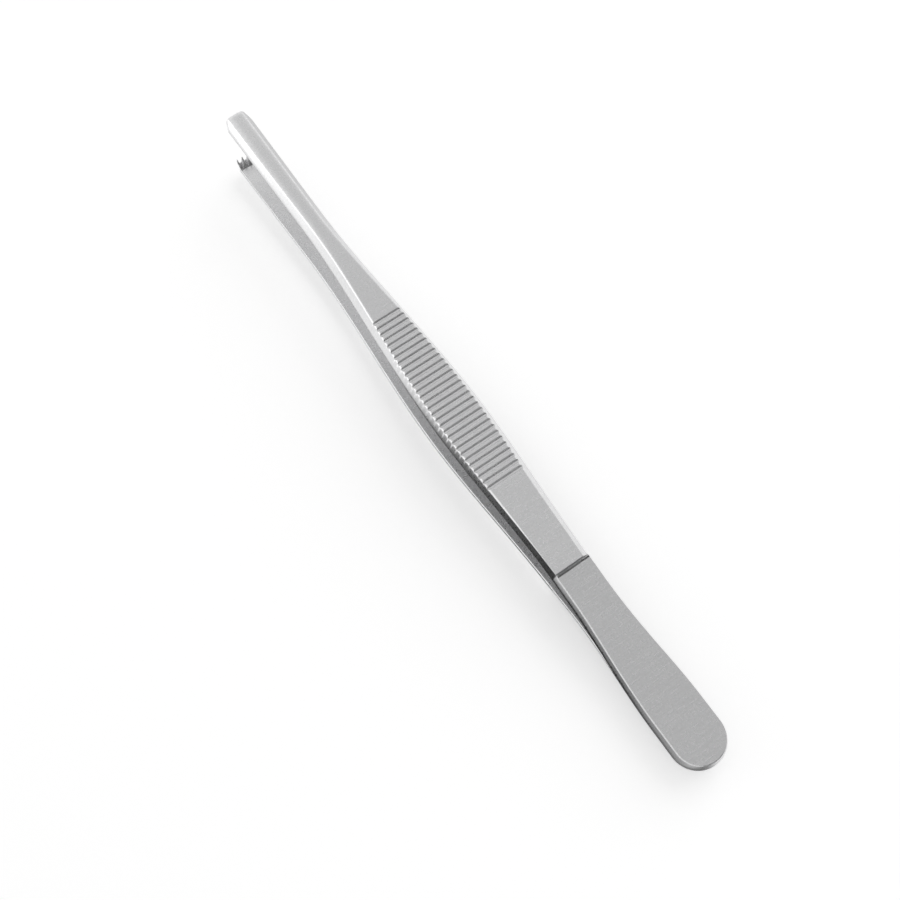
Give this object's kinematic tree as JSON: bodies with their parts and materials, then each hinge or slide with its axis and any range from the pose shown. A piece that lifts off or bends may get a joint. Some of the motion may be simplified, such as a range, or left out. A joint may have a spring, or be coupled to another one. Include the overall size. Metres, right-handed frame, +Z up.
{
  "type": "thumb forceps",
  "caption": "Toothed tissue forceps: bowed steel arms welded at the heel, ribbed finger grips, slim tapered shanks and interlocking teeth at the tips.",
  "frame": {"origin": "centre of the object's box, on the surface that the lower arm's grip lies on", "axes": "+X from the heel to the tips, +Y across the arms, +Z up from the surface"},
  "size_m": [0.1452, 0.0098, 0.0179],
  "materials": {
    "steel": "satin brushed stainless steel, lines across the arms"
  },
  "bodies": {
    "root": {"upper_arm": "steel", "lower_arm": "steel"}
  },
  "joints": []
}
